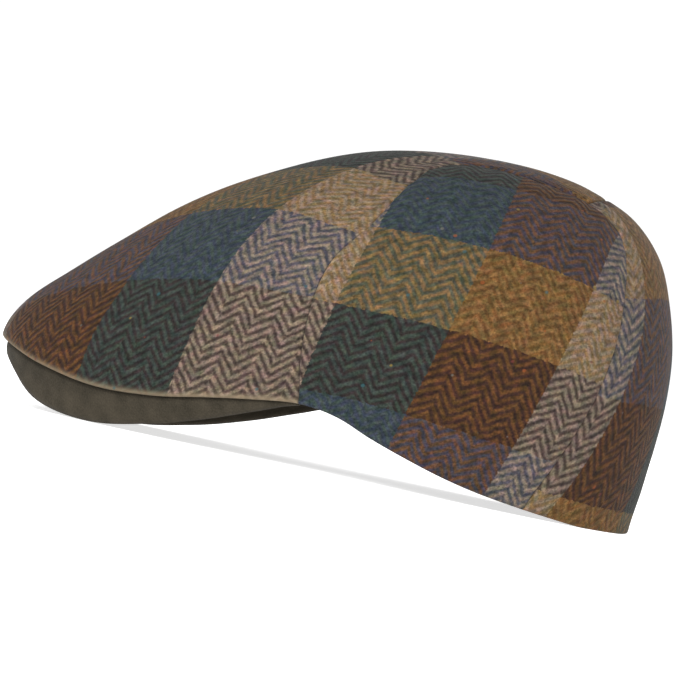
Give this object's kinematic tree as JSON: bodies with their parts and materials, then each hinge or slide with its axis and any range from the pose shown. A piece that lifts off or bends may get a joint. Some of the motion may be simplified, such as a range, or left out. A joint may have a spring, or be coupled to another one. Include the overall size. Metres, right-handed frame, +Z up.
{
  "type": "flat cap",
  "caption": "Soft woollen flat cap with a hollow crown sewn from a front panel, a back panel and two side panels, and a curved, cloth-covered peak.",
  "frame": {"origin": "on the surface the cap stands on, under the middle of its length and width", "axes": "+Z up through the crown, +X towards the back of the head and -X towards the peak, +Y towards the wearer's right and -Y towards the wearer's left"},
  "size_m": [0.27, 0.1876, 0.1375],
  "materials": {
    "tweed": "brushed woollen tweed woven in herringbone blocks of many colours",
    "peak_wool": "plain dark olive-brown wool cloth"
  },
  "bodies": {
    "root": {"front_panel": "tweed", "back_panel": "tweed", "side_panel_left": "tweed", "side_panel_right": "tweed", "peak": "peak_wool"}
  },
  "joints": []
}
